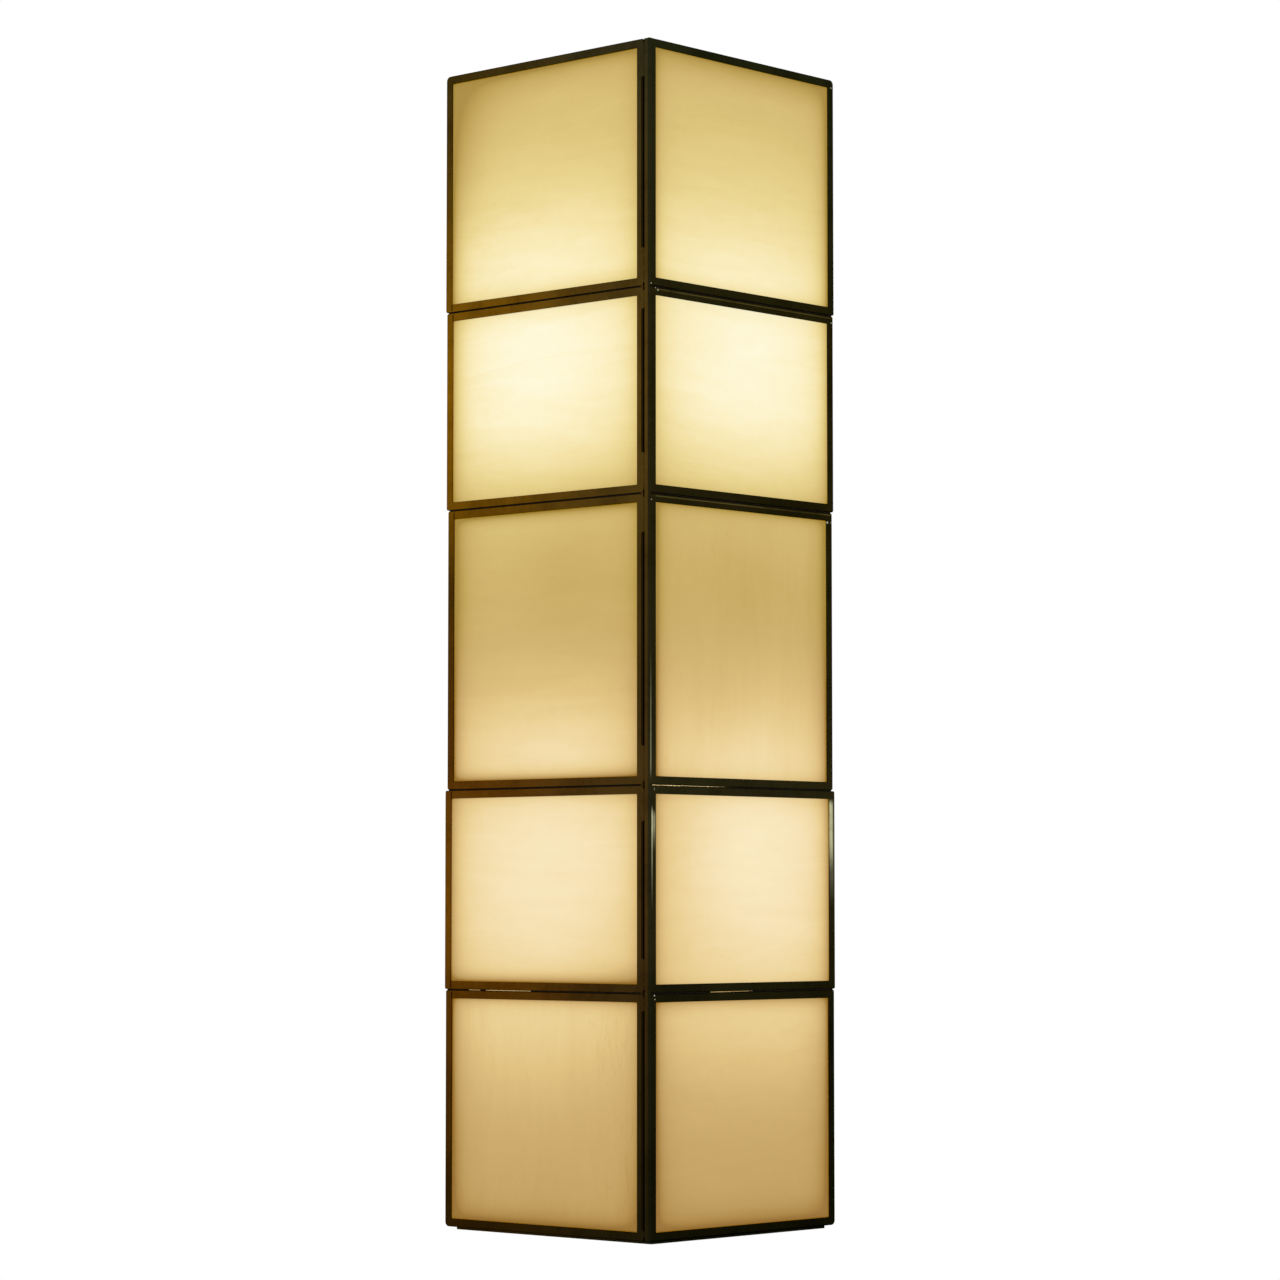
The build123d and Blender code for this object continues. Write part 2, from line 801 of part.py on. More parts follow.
# Lead clips: a saddle on the wall plate over the middle of each lead's straight run.
saddle_inner = lead_diameter / 2 + lead_play
saddle_outer = saddle_inner + saddle_thickness
with BuildPart() as lead_clips:
    for shelf, way in zip(shelf_heights, (-1, 1)):
        high = shelf + lead_exit_height + way * lead_fall
        low = -way * (block_height / 2 + lead_turn_in)
        with BuildSketch(Plane.XY.offset((high + low - saddle_width) / 2)):
            for side in (-1, 1):
                with Locations((side * lead_lane, lead_y)):
                    Circle(saddle_outer)
                with Locations((side * lead_lane, wall_front)):
                    Rectangle(
                        2 * (saddle_outer + saddle_foot),
                        saddle_thickness,
                        align=(Align.CENTER, Align.MAX),
                    )
                    Rectangle(
                        2 * saddle_outer,
                        saddle_outer,
                        align=(Align.CENTER, Align.MIN),
                        mode=Mode.SUBTRACT,
                    )
                with Locations((side * lead_lane, lead_y)):
                    Circle(saddle_inner, mode=Mode.SUBTRACT)
                    Rectangle(
                        2 * saddle_inner,
                        saddle_inner,
                        align=(Align.CENTER, Align.MIN),
                        mode=Mode.SUBTRACT,
                    )
        extrude(amount=saddle_width)
save(lead_clips.part, "lead_clips")
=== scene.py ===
import math

import bmesh
import bpy
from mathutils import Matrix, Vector, noise


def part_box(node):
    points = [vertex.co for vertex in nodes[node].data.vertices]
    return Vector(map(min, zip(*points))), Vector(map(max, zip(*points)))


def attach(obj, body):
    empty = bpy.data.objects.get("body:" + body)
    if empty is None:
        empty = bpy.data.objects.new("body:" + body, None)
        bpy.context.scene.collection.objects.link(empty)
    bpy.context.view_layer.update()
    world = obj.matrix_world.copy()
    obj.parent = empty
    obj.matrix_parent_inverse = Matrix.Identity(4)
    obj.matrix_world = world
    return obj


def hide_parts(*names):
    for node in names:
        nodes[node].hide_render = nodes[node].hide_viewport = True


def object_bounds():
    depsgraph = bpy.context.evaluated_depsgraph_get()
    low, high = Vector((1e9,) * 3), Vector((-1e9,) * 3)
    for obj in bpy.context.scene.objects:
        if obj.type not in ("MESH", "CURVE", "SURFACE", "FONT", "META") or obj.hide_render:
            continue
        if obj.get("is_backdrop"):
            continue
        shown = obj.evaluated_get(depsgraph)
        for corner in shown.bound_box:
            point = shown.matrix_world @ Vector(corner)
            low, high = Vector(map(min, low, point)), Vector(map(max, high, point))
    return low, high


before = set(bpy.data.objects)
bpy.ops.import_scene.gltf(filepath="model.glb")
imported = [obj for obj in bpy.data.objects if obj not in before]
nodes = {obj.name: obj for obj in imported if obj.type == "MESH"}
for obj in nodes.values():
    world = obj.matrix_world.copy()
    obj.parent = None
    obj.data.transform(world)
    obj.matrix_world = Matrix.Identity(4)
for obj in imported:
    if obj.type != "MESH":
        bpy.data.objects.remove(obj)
cad_low, cad_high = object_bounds()
scene = bpy.context.scene


# Viewpoint: the lamp is seen from a little left of its front corner and from below its
# middle, at a distance where its upright edges stay nearly parallel.
upward_tilt = math.radians(3.781)
rightward_turn = math.radians(2.543)
camera_data = bpy.data.cameras.new("viewpoint")
camera_data.lens = 111.73
camera_data.sensor_width = 36.0
viewpoint = bpy.data.objects.new("viewpoint", camera_data)
viewpoint.location = (-0.2214, -4.9837, -0.3194)
viewpoint.rotation_euler = (math.pi / 2 + upward_tilt, 0, -rightward_turn)
scene.collection.objects.link(viewpoint)
scene.camera = viewpoint
scene.view_settings.view_transform = "Standard"


# Studio: a white surround, seen as plain white and in the lacquer's reflections, with a
# softer level of light on the lamp itself, and three large softboxes.
class Socket:
    """One output of a node, so that the maths of a finish reads as plain sums."""

    def __init__(self, tree, output=None):
        self.tree = tree
        self.output = output

    def node(self, kind, settings=None, values=None, out=0):
        made = self.tree.nodes.new("ShaderNode" + kind)
        for name, setting in (settings or {}).items():
            if name == "stops":
                first, *middle, last = setting
                ends = made.color_ramp.elements
                ends[0].position, ends[0].color = first[0], (*first[1], 1)
                ends[1].position, ends[1].color = last[0], (*last[1], 1)
                for place, colour in middle:
                    ends.new(place).color = (*colour, 1)
            else:
                setattr(made, name, setting)
        for name, value in (values or {}).items():
            if isinstance(value, Socket):
                self.tree.links.new(value.output, made.inputs[name])
            else:
                made.inputs[name].default_value = value
        return Socket(self.tree, made.outputs[out] if made.outputs else None)

    def math(self, operation, *values):
        return self.node("Math", {"operation": operation}, dict(enumerate(values)))

    def __add__(self, other):
        return self.math("ADD", self, other)

    def __sub__(self, other):
        return self.math("SUBTRACT", self, other)

    def __rsub__(self, other):
        return self.math("SUBTRACT", other, self)

    def __mul__(self, other):
        return self.math("MULTIPLY", self, other)

    def __truediv__(self, other):
        return self.math("DIVIDE", self, other)

    def __rtruediv__(self, other):
        return self.math("DIVIDE", other, self)

    def __pow__(self, other):
        return self.math("POWER", self, other)

    def __rpow__(self, other):
        return self.math("POWER", other, self)

    def __neg__(self):
        return self * -1.0

    def __abs__(self):
        return self.math("ABSOLUTE", self)

    __radd__ = __add__
    __rmul__ = __mul__

    def fade(self, low, high, start=0.0, end=1.0):
        """Runs smoothly from start to end as the value goes from low to high."""
        return self.node("MapRange", {"interpolation_type": "SMOOTHSTEP"},
                         {0: self, 1: low, 2: high, 3: start, 4: end})

    def blend(self, first, second):
        """The first colour where this mask is 0, and the second where it is 1."""
        colours = [c if isinstance(c, Socket) else (*c, 1) for c in (first, second)]
        return self.node("Mix", {"data_type": "RGBA"},
                         {0: self, 6: colours[0], 7: colours[1]}, out=2)


studio = bpy.data.worlds.new("studio")
scene.world = studio
studio.use_nodes = True
studio.node_tree.nodes.clear()
air = Socket(studio.node_tree)
rays = air.node("LightPath").output.node.outputs
seen_white = sum(Socket(air.tree, rays[name])
                 for name in ("Is Camera Ray", "Is Glossy Ray", "Is Transmission Ray"))
surround = air.node("Background", {}, {"Color": (1, 1, 1, 1),
                                       "Strength": seen_white.fade(0, 1, 0.6, 1)})
air.node("OutputWorld", {}, {"Surface": surround})


def softbox(name, place, side, power):
    data = bpy.data.lights.new(name, "AREA")
    data.size = side
    data.energy = power
    box = bpy.data.objects.new(name, data)
    box.location = place
    box.rotation_euler = (-Vector(place)).to_track_quat("-Z", "Y").to_euler()
    box.visible_glossy = False
    scene.collection.objects.link(box)


softbox("key_softbox", (-2.4, -3.2, 2.6), 1.8, 75)
softbox("fill_softbox", (2.8, -2.8, 1.2), 1.8, 40)
softbox("top_softbox", (0, -0.6, 3.4), 2.2, 45)


# Floor: a plain white disc well below the lamp, which fades out before its edge and
# carries the lamp's soft shadow.
floor_drop = 0.32
floor_reach = 2.3
bpy.ops.mesh.primitive_circle_add(vertices=96, radius=floor_reach, fill_type="NGON",
                                  location=(0, 0, cad_low.z - floor_drop))
floor = bpy.context.object
floor.name = "floor"
floor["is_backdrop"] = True


def new_material(name):
    made = bpy.data.materials.new(name)
    made.use_nodes = True
    made.node_tree.nodes.clear()
    return made, Socket(made.node_tree)


floor_paint, paint = new_material("floor_paint")
spot = paint.node("TexCoord", out=3)
from_middle = paint.node("VectorMath", {"operation": "LENGTH"}, {0: spot}, out=1)
speckle = paint.node("TexNoise", {}, {"Vector": spot, "Scale": 3.0, "Detail": 4.0})
matt = paint.node("BsdfPrincipled", {}, {
    "Base Color": speckle.blend((0.92, 0.92, 0.92), (0.95, 0.95, 0.95)),
    "Roughness": 0.7})
clear = paint.node("BsdfTransparent")
faded = from_middle.fade(0.45 * floor_reach, 0.97 * floor_reach)
paint.node("OutputMaterial", {}, {0: paint.node("MixShader", {}, {0: faded, 1: matt, 2: clear})})
floor.data.materials.append(floor_paint)


# Wall plate and lampholder shelves: folded steel sheet with white stove enamel, slightly
# wavy, and a touch greyer where hands and heat have reached it.
def dress(names, material):
    for name in names:
        mesh = nodes[name].data
        mesh.materials.clear()
        mesh.materials.append(material)


enamel, coat = new_material("white_enamel")
spot = coat.node("TexCoord", out=3)
haze = coat.node("TexNoise", {}, {"Vector": spot, "Scale": 7.0, "Detail": 5.0, "Roughness": 0.6})
peel = coat.node("TexNoise", {}, {"Vector": spot, "Scale": 420.0, "Detail": 2.0})
coat.node("OutputMaterial", {}, {0: coat.node("BsdfPrincipled", {}, {
    "Base Color": haze.fade(0.35, 0.7).blend((0.84, 0.83, 0.79), (0.79, 0.775, 0.725)),
    "Roughness": haze.fade(0.3, 0.7, 0.22, 0.4),
    "Coat Weight": 0.3,
    "Normal": coat.node("Bump", {}, {"Strength": 0.06, "Distance": 0.0003, "Height": peel})})})
dress(["wall_plate", "upper_shelf", "lower_shelf"], enamel)


# Studs, nuts, screws and lead clips: zinc-plated steel, turned or pressed, with fine brush
# marks and the faint spangle of the plating.
zinc, plating = new_material("zinc_plate")
spot = plating.node("TexCoord", out=3)
spangle = plating.node("TexVoronoi", {}, {"Vector": spot, "Scale": 260.0}, out=1)
brush = plating.node("TexNoise", {}, {"Vector": spot, "Scale": 900.0, "Detail": 3.0})
plating.node("OutputMaterial", {}, {0: plating.node("BsdfPrincipled", {}, {
    "Base Color": brush.fade(0.3, 0.7).blend((0.55, 0.56, 0.58), (0.68, 0.69, 0.7)),
    "Metallic": 1.0,
    "Roughness": plating.node("SeparateColor", {}, {0: spangle}) * 0.12 + 0.28,
    "Normal": plating.node("Bump", {}, {"Strength": 0.15, "Distance": 0.0002, "Height": brush})})})
dress(["hanging_studs", "holder_nuts", "terminal_screws", "lead_clips", "plate_screws"], zinc)


# Lampholders: glazed porcelain cups, in which the glaze has pooled a little unevenly, with
# a rolled brass thread shell in each.
def cloudy_finish(name, scale, detail, colours, gloss, bump, patches=(0.35, 0.7), constants=None):
    """A finish that varies in soft patches, in its colour, its gloss and a little in height."""
    made, layer = new_material(name)
    spot = layer.node("TexCoord", out=3)
    cloud = layer.node("TexNoise", {}, {"Vector": spot, "Scale": scale, "Detail": detail})
    strength, distance = bump
    layer.node("OutputMaterial", {}, {0: layer.node("BsdfPrincipled", {}, {
        "Base Color": cloud.fade(*patches).blend(*colours),
        "Roughness": cloud.fade(0.3, 0.7, *gloss),
        "Normal": layer.node("Bump", {}, {"Strength": strength, "Distance": distance, "Height": cloud}),
        **(constants or {})})})
    return made


porcelain = cloudy_finish("porcelain", 60.0, 4.0, ((0.86, 0.85, 0.81), (0.79, 0.77, 0.71)),
                          gloss=(0.1, 0.2), bump=(0.08, 0.0004), constants={"Coat Weight": 0.6})
dress([f"lampholder_{n}" for n in range(1, 5)], porcelain)

thread_scale = 88.0
shell_brass, shell = new_material("shell_brass")
spot = shell.node("TexCoord", out=3)
thread = shell.node("TexWave", {"wave_type": "BANDS", "bands_direction": "Z"},
                    {"Vector": spot, "Scale": thread_scale})
tarnish = shell.node("TexNoise", {}, {"Vector": spot, "Scale": 120.0, "Detail": 4.0})
shell.node("OutputMaterial", {}, {0: shell.node("BsdfPrincipled", {}, {
    "Base Color": tarnish.fade(0.35, 0.7).blend((0.72, 0.52, 0.24), (0.45, 0.3, 0.13)),
    "Metallic": 1.0,
    "Roughness": tarnish.fade(0.3, 0.7, 0.25, 0.42),
    "Normal": shell.node("Bump", {}, {"Strength": 0.5, "Distance": 0.001, "Height": thread})})})
dress([f"holder_shell_{n}" for n in range(1, 5)], shell_brass)


# Bulbs: opal glass globes that glow warm white, a little yellower where the glass is thick,
# in rolled aluminium caps.
bulb_glass, globe = new_material("bulb_glass")
spot = globe.node("TexCoord", out=3)
cloud = globe.node("TexNoise", {}, {"Vector": spot, "Scale": 18.0, "Detail": 2.0})
facing = globe.node("LayerWeight", {}, {"Blend": 0.35}, out=1)
globe.node("OutputMaterial", {}, {0: globe.node("BsdfPrincipled", {}, {
    "Base Color": cloud.blend((0.85, 0.8, 0.7), (0.8, 0.74, 0.62)),
    "Roughness": facing.fade(0, 1, 0.2, 0.35),
    "Emission Color": cloud.fade(0.2, 0.8).blend((1.0, 0.78, 0.42), (1.0, 0.86, 0.56)),
    "Emission Strength": 5.0})})
dress([f"bulb_globe_{n}" for n in range(1, 5)], bulb_glass)

cap_metal, cap = new_material("cap_aluminium")
spot = cap.node("TexCoord", out=3)
thread = cap.node("TexWave", {"wave_type": "BANDS", "bands_direction": "Z"},
                  {"Vector": spot, "Scale": thread_scale})
dull = cap.node("TexNoise", {}, {"Vector": spot, "Scale": 150.0, "Detail": 3.0})
cap.node("OutputMaterial", {}, {0: cap.node("BsdfPrincipled", {}, {
    "Base Color": dull.blend((0.74, 0.74, 0.73), (0.58, 0.58, 0.57)),
    "Metallic": 1.0,
    "Roughness": dull.fade(0.3, 0.7, 0.28, 0.45),
    "Normal": cap.node("Bump", {}, {"Strength": 0.6, "Distance": 0.001, "Height": thread})})})
dress([f"bulb_cap_{n}" for n in range(1, 5)], cap_metal)


# Wiring: woven glass sleeves on the leads, a moulded terminal block, and a black rubber
# bush where the supply comes through the wall plate.
sleeve, weave = new_material("lead_sleeve")
spot = weave.node("TexCoord", out=3)
round_strands, cross_strands = (
    weave.node("TexWave", {"wave_type": "BANDS", "bands_direction": way},
               {"Vector": spot, "Scale": 300.0, "Distortion": 1.5}) for way in ("Z", "DIAGONAL"))
braid = round_strands * cross_strands
weave.node("OutputMaterial", {}, {0: weave.node("BsdfPrincipled", {}, {
    "Base Color": braid.fade(0, 0.8).blend((0.52, 0.47, 0.37), (0.8, 0.76, 0.66)),
    "Roughness": 0.85,
    "Normal": weave.node("Bump", {}, {"Strength": 0.5, "Distance": 0.0005, "Height": braid})})})
dress([f"lead_{n}" for n in range(1, 5)], sleeve)

dress(["terminal_block"], cloudy_finish(
    "terminal_plastic", 240.0, 3.0, ((0.82, 0.81, 0.76), (0.74, 0.72, 0.65)),
    gloss=(0.45, 0.6), bump=(0.1, 0.0003), patches=(0.3, 0.7)))
dress(["cable_grommet"], cloudy_finish(
    "black_rubber", 180.0, 4.0, ((0.025, 0.025, 0.025), (0.06, 0.058, 0.055)),
    gloss=(0.55, 0.75), bump=(0.2, 0.0003), patches=(0.4, 0.75)))


# Frames: brass angle bar under a dark patina and glossy lacquer. The left-hand frames carry a
# warm painted reflection and the right-hand ones painted shade, nearly black. The corner slot and
# the seams are darkened with painted shade, and some stiles and rails carry painted highlights.
lowest, highest = -0.75, 0.75
# The patina's colour up the lamp with painted light in it: a warm painted reflection on the left faces,
# dimmer near the corner, and painted shade on the right faces, all lighter near the bulbs' heights
patina_warm_lit_levels = ((0.02, (0.022, 0.011, 0.0018)), (0.13, (0.06, 0.023, 0.002)),
                (0.2, (0.078, 0.028, 0.0018)), (0.27, (0.137, 0.052, 0.003)),
                (0.39, (0.088, 0.032, 0.003)), (0.54, (0.06, 0.027, 0.0025)),
                (0.7, (0.19, 0.082, 0.0025)), (0.92, (0.06, 0.033, 0.0044)),
                (0.98, (0.045, 0.028, 0.0054)))
patina_corner_lit_levels = ((0.02, (0.013, 0.0098, 0.003)), (0.2, (0.033, 0.018, 0.0042)),
                 (0.33, (0.053, 0.028, 0.0062)), (0.54, (0.044, 0.0255, 0.005)),
                 (0.7, (0.082, 0.045, 0.0075)), (0.83, (0.052, 0.032, 0.0065)),
                 (0.98, (0.032, 0.026, 0.0095)))
patina_shaded_side_levels = ((0.02, (0.0075, 0.007, 0.0027)), (0.18, (0.0098, 0.009, 0.0035)),
                (0.34, (0.0215, 0.0185, 0.0075)), (0.56, (0.0155, 0.0128, 0.0045)),
                (0.74, (0.0177, 0.0148, 0.0048)), (0.98, (0.0156, 0.0163, 0.0068)))
# Painted highlight colour of the streaks on the right-hand stiles
painted_highlight_colour = (0.52, 0.505, 0.3)
# Painted highlight colour along the right-hand rails' upper arris
painted_arris_highlight_colour = (0.07, 0.053, 0.015)
# Painted shade colour in the corner slot and along the seams
painted_shade_colour = (0.007, 0.004, 0.001)
tiers = [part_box(f"left_frame_{n}") for n in range(1, 6)]
seam_levels = [(over[0].z + under[1].z) / 2 for over, under in zip(tiers, tiers[1:])]
slot_beads_above = (0.042, 0.022, 0.042, 0.038, 0.016)
slot_beads_below = (0.042, 0.044, 0.042, 0.036, 0.008)
slot_bead_inset = 0.004
# Distances from the corner edge, left of it: the rim beside the slot and the strip's middle
slot_rim, strip_middle = 0.0112, 0.0045
# Painted highlights on the right-hand stiles, streaks of reflected light: distance from the corner
# edge, half width, upper and lower end, how softly each end fades, and how bright the streak is
painted_highlight_streaks = ((0.0024, 0.0012, 0.0, -0.175, 0.13, 0.02, 0.4),
           (0.0072, 0.0046, -0.207, -0.262, 0.012, 0.045, 0.5),
           (0.0046, 0.0014, -0.2025, -0.335, 0.012, 0.12, 0.92),
           (0.3378, 0.0054, -0.189, -0.285, 0.01, 0.05, 0.98),
           (0.3388, 0.0052, -0.2, -0.33, 0.02, 0.06, 0.2),
           (0.0086, 0.0013, -0.1815, -0.187, 0.002, 0.003, 0.25))
# Tiers whose right-hand rails carry a painted arris highlight, and its drop below the rail's top
arris_highlight_tiers = tiers[1:3]
arris_highlight_drop = 0.0028


def patina_with_painted_light(name, gloss, with_painted_marks=False):
    """The lamp's patinated metal with painted light: a warm painted reflection left of the corner edge
    and painted shade right of it, both lighter near the bulbs' heights.
    """
    made, metal = new_material(name)
    spot = metal.node("TexCoord", out=3)
    x, height = (metal.node("SeparateXYZ", {}, {0: spot}, out=way) for way in (0, 2))
    along = x * math.sqrt(2)
    patches = metal.node("TexNoise", {}, {"Vector": spot, "Scale": 14.0, "Detail": 5.0, "Roughness": 0.6})
    rub = metal.node("TexNoise", {}, {"Vector": spot, "Scale": 130.0, "Detail": 4.0, "Roughness": 0.55})
    level = (height - lowest) / (highest - lowest)
    warm_lit_patina, corner_lit_patina, shaded_patina = (metal.node("ValToRGB", {"stops": stops}, {0: level})
                                 for stops in (patina_warm_lit_levels, patina_corner_lit_levels, patina_shaded_side_levels))
    # Nearer the corner edge the painted warm reflection takes its own, dimmer levels
    warm_lit_patina = along.fade(-0.3, -0.025).blend(warm_lit_patina, corner_lit_patina)
    if with_painted_marks:
        drawn = metal.node("VectorMath", {"operation": "MULTIPLY"}, {0: spot, 1: (900, 900, 30)})
        highlight_grain = metal.node("TexNoise", {}, {"Vector": drawn, "Scale": 1.0, "Detail": 3.0})
        # Painted highlights: pale streaks down the right-hand stiles, with a fine grain along them
        for place, half, top, bottom, start, end, highlight_strength in painted_highlight_streaks:
            painted_highlight = abs(along - place).fade(0.3 * half, half, highlight_strength, 0)
            painted_highlight = painted_highlight * highlight_grain.fade(0.3, 0.65, 0.6, 1)
            painted_highlight = painted_highlight * (top - height).fade(0, start) * (height - bottom).fade(0, end)
            shaded_patina = painted_highlight.blend(shaded_patina, painted_highlight_colour)
        # Painted highlights: a lighter line just below the top of the right-hand rails of tiers two and
        # three, where their upper arris catches the light
        for low, high in arris_highlight_tiers:
            arris_highlight_line = abs(height - (high.z - arris_highlight_drop)).fade(0.0003, 0.0011, 1, 0)
            painted_arris_highlight = arris_highlight_line * along.fade(0.008, 0.014) * patches.fade(0.35, 0.5, 0.5, 1)
            shaded_patina = painted_arris_highlight.blend(shaded_patina, painted_arris_highlight_colour)
    # Painted light: the warm painted reflection left of the corner edge gives way to painted shade right
    # of it
    tone = along.fade(-0.0036, -0.002).blend(warm_lit_patina, shaded_patina)
    cloudy = (patches * 0.65 + rub * 0.35).fade(0.34, 0.62, 0.78, 1.2)
    tone = metal.node("VectorMath", {"operation": "SCALE"}, {0: tone, "Scale": cloudy})
    if with_painted_marks:
        open_slot = 0
        for (low, high), above, below in zip(tiers, slot_beads_above, slot_beads_below):
            half = (high.z - low.z - above - below) / 2 - slot_bead_inset
            middle = low.z + below + slot_bead_inset + half
            open_slot = abs(height - middle).fade(half - 0.002, half + 0.001, 1, 0) + open_slot
        # Painted shade: the rims beside the open stretches of the corner slot, and the edges along the
        # seams away from the strip, darkened where shade falls in these gaps
        painted_shade = abs(along + slot_rim).fade(0.0018, 0.0028, 0.85, 0) * open_slot
        beside_strip = abs(along + strip_middle).fade(0.005, 0.0065)
        for seam in seam_levels:
            painted_shade = abs(height - seam).fade(0.0009, 0.0015, 0.85, 0) * beside_strip + painted_shade
        tone = painted_shade.blend(tone, painted_shade_colour)
    metal.node("OutputMaterial", {}, {0: metal.node("BsdfPrincipled", {}, {
        "Base Color": tone,
        "Metallic": 1.0,
        "Roughness": rub.fade(0.3, 0.7, gloss, gloss + 0.14),
        "Specular Tint": (0.25, 0.24, 0.22, 1),
        "Normal": metal.node("Bump", {}, {"Strength": 0.05, "Distance": 0.0004, "Height": rub})})})
    return made


dress([f"{side}_frame_{n}" for side in ("left", "right") for n in range(1, 6)] + ["corner_strip"],
      patina_with_painted_light("frame_patina_painted_light", 0.24, with_painted_marks=True))
dress(["left_upright", "right_upright", "top_plate", "bottom_plate"], patina_with_painted_light("plate_patina_painted_light", 0.3))


# Glass: flat opal panes, cut to fit behind the frames, that glow from the bulbs inside. The
# glow is brightest level with the bulbs and falls off to tan, with painted shade at the edges along the
# frames.
bulb_levels = [sum(corner.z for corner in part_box(f"bulb_globe_{n}")) / 2 + 0.009 for n in (1, 3)]
bulb_powers = (0.619, 0.828)
glow_between = 0.463
glow_reach = 0.217
glow_middle = 0.183
glow_narrowing = 0.718
bar = 0.010
# A frame's rim is rounded, so its box stops this far short of the sharp edge
rim_rounding = 0.00071
seam_start = {"left": 0.0108, "right": 0.002}
seam_end = [high.x * math.sqrt(2) + rim_rounding
            for low, high in (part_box(f"right_frame_{n}") for n in range(1, 6))]
pane_light = (1.0, 0.869, 0.693, 0.646, 0.789)
upper_colours = ((0.25, (0.40, 0.26, 0.06)), (0.35, (0.513, 0.355, 0.094)),
                 (0.45, (0.616, 0.443, 0.152)), (0.55, (0.704, 0.54, 0.198)),
                 (0.65, (0.8, 0.65, 0.269)), (0.75, (0.892, 0.749, 0.384)),
                 (0.85, (0.955, 0.849, 0.523)), (0.95, (0.988, 0.93, 0.681)),
                 (1.0, (1.0, 0.96, 0.78)))
lower_colours = ((0.2, (0.33, 0.18, 0.045)), (0.25, (0.405, 0.237, 0.064)),
                 (0.35, (0.529, 0.344, 0.122)), (0.45, (0.628, 0.424, 0.17)),
                 (0.55, (0.741, 0.531, 0.225)), (0.65, (0.833, 0.638, 0.307)),
                 (0.75, (0.904, 0.733, 0.429)), (0.85, (0.949, 0.812, 0.532)),
                 (1.0, (0.99, 0.9, 0.68)))
# What the panes reflect of the studio, which is taken off their own glow
studio_sheen = (0.003, 0.006, 0.011)
# How far the frame's shade reaches over a pane, softly and right at the bar, and how dark the
# soft shade is at the inner, outer, top and bottom edges
soft_shade, bar_shade = 0.0148, 0.0052
soft_darkness = (0.22, 0.5, 0.14, 0.3)
# Each pane's shade and unevenness: how much darker its inner, outer, top and bottom edges are in the
# frame's painted shade at the bar, and its thin and thick places, each across from the left edge and down
# from the top, with its reach, all as shares of the pane, and how much lighter or darker it is
pane_shade_and_unevenness = {
    ("left", 1): ((0, 0.8, 0.58, -0.06),
                  ((0, 0, 0.3, 0.22, -0.36), (0, 0, 0.1, 0.12, -0.55),
                   (0.05, 0.27, 0.13, 0.3, -0.22), (0.5, 0, 0.9, 0.1, -0.16))),
    ("left", 2): ((0, 0.24, 0, -0.12),
                  ((0.5, 0, 0.9, 0.22, 0.08), (0.5, 0.87, 0.9, 0.2, -0.08), (0.3, 1, 0.4, 0.1, 0.06))),
    ("left", 3): ((0.08, 0.72, 0.72, 0.62),
                  ((0, 0.22, 0.1, 0.25, -0.12), (0.5, 0, 0.9, 0.12, 0.07),
                   (0.6, 0.25, 0.25, 0.3, -0.1), (0.65, 0.88, 0.3, 0.2, 0.06))),
    ("left", 4): ((0, 0.24, 0.05, 0.66),
                  ((0.6, 0.88, 0.9, 0.15, 0.07), (0, 0.3, 0.5, 0.3, -0.05),
                   (1, 1, 0.15, 0.12, -0.14), (0.2, 1, 0.5, 0.1, 0.16))),
    ("left", 5): ((0.1, 0.68, 0.34, 0.38),
                  ((0.5, 0, 0.8, 0.07, -0.06), (0.5, 1, 0.9, 0.1, -0.13), (0, 0.8, 0.12, 0.4, -0.08),
                   (1, 0.9, 0.1, 0.2, -0.14), (0.35, 0.35, 0.35, 0.25, 0.06))),
    ("right", 1): ((0.3, 0.86, 0.16, -0.08),
                   ((0.5, 0, 0.9, 0.09, -0.32), (0, 0.6, 0.06, 0.6, 0.08), (1, 0, 0.2, 0.15, -0.16),
                    (0.6, 0.75, 0.4, 0.2, -0.05), (0.2, 1, 0.5, 0.12, 0.07))),
    ("right", 2): ((0, 0.16, -0.1, -0.12),
                   ((0.5, 0, 0.9, 0.16, 0.1), (0.5, 0.82, 0.9, 0.2, -0.07),
                    (1, 0.35, 0.08, 0.6, 0.08), (0, 0, 0.15, 0.15, 0.07))),
    ("right", 3): ((0.7, 0.74, 0.34, -0.04),
                   ((0, 0.35, 0.06, 0.6, 0.06), (0.5, 0.25, 0.32, 0.3, -0.12),
                    (0.35, 0.7, 0.2, 0.2, -0.06), (0.5, 1, 0.9, 0.1, 0.06))),
    ("right", 4): ((0.3, 0.48, 0, -0.12),
                   ((0.5, 1, 1.3, 0.12, 0.3), (0.1, 0.35, 0.25, 0.4, -0.1), (0.65, 0.1, 0.3, 0.2, 0.05),
                    (0.85, 0.8, 0.3, 0.2, 0.07), (1, 0, 0.07, 0.07, -0.15))),
    ("right", 5): ((0.5, 0.74, 0.32, 0.38),
                   ((0.5, 1, 1.3, 0.12, -0.14), (0, 0.65, 0.12, 0.5, -0.12), (1, 0.7, 0.12, 0.5, -0.1),
                    (0.5, 0, 1, 0.07, -0.15), (0.5, 0.75, 0.9, 0.25, -0.04))),
}


